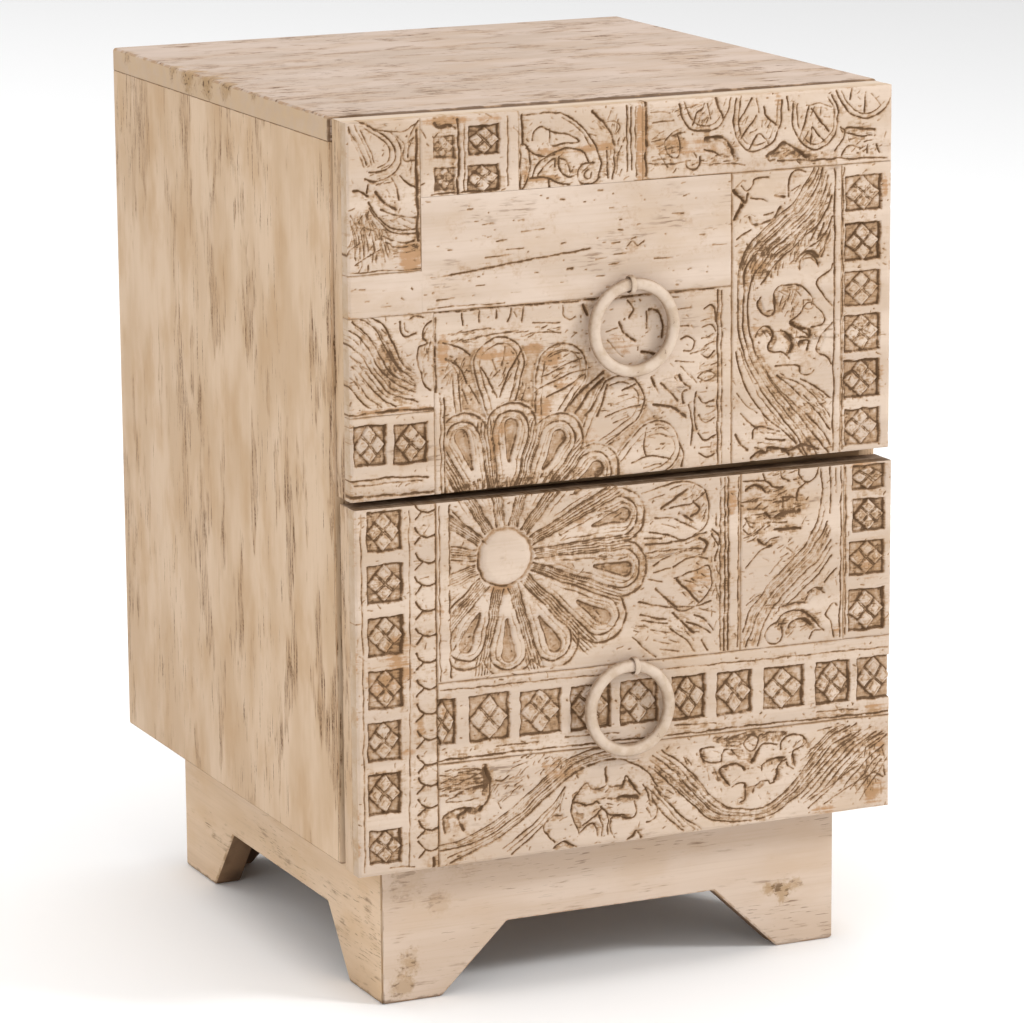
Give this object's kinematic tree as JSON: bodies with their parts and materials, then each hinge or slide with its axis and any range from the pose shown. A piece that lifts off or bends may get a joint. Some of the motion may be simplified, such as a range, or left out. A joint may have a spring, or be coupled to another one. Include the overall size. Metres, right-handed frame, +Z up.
{
  "type": "side table",
  "caption": "Small whitewashed wooden side table on an arched plinth, with overlay drawers faced with carved patchwork blocks and hung with ring pulls.",
  "frame": {"origin": "middle of the bounding box's footprint, on the floor", "axes": "+Z up, -Y towards the drawer fronts, +X to the right seen from the front"},
  "size_m": [0.4, 0.4422, 0.6],
  "materials": {
    "whitewashed_wood": "worn limewash",
    "carved_wood": "worn limewash over carving",
    "bare_wood": "sawn, unfinished",
    "painted_iron": "cream paint, rubbed"
  },
  "bodies": {
    "carcass": {"back_panel": "bare_wood", "bottom_panel": "bare_wood", "drawer_divider": "bare_wood", "left_kicker": "bare_wood", "left_side_panel": "whitewashed_wood", "lower_left_runner": "bare_wood", "lower_right_runner": "bare_wood", "plinth_back": "whitewashed_wood", "plinth_block_back_left": "bare_wood", "plinth_block_back_right": "bare_wood", "plinth_block_front_left": "bare_wood", "plinth_block_front_right": "bare_wood", "plinth_front": "whitewashed_wood", "plinth_left": "whitewashed_wood", "plinth_right": "whitewashed_wood", "right_kicker": "bare_wood", "right_side_panel": "whitewashed_wood", "top_panel": "whitewashed_wood", "upper_left_runner": "bare_wood", "upper_right_runner": "bare_wood"},
    "upper_drawer": {"upper_back": "bare_wood", "upper_bottom": "bare_wood", "upper_corner_petal": "carved_wood", "upper_front_board": "whitewashed_wood", "upper_left_lattice": "carved_wood", "upper_left_side": "bare_wood", "upper_left_wave": "carved_wood", "upper_petal_frieze": "carved_wood", "upper_plain_block": "carved_wood", "upper_plain_board": "carved_wood", "upper_pull_pin": "painted_iron", "upper_right_lattice": "carved_wood", "upper_right_side": "bare_wood", "upper_rosette": "carved_wood", "upper_scroll": "carved_wood", "upper_small_lattice": "carved_wood", "upper_wave_band": "carved_wood"},
    "lower_drawer": {"lower_back": "bare_wood", "lower_bottom": "bare_wood", "lower_front_board": "whitewashed_wood", "lower_lattice_band": "carved_wood", "lower_left_lattice": "carved_wood", "lower_left_side": "bare_wood", "lower_pull_pin": "painted_iron", "lower_right_lattice": "carved_wood", "lower_right_side": "bare_wood", "lower_rosette": "carved_wood", "lower_wave_band": "carved_wood", "lower_wave_border": "carved_wood"},
    "upper_ring": {"upper_pull_ring": "painted_iron"},
    "lower_ring": {"lower_pull_ring": "painted_iron"}
  },
  "joints": [
    {"name": "upper_drawer_slide", "type": "slide", "parent": "carcass", "child": "upper_drawer", "axis": [0, -1, 0], "range_m": [0, 0.25]},
    {"name": "lower_drawer_slide", "type": "slide", "parent": "carcass", "child": "lower_drawer", "axis": [0, -1, 0], "range_m": [-0.0044, 0.2456]},
    {"name": "upper_ring_swing", "type": "hinge", "parent": "upper_drawer", "child": "upper_ring", "pos_m": [0, -0.2103, 0.4805], "axis": [-1, 0, 0], "range_deg": [-2, 170]},
    {"name": "lower_ring_swing", "type": "hinge", "parent": "lower_drawer", "child": "lower_ring", "pos_m": [0, -0.2147, 0.2233], "axis": [-1, 0, 0], "range_deg": [-2, 170]}
  ]
}
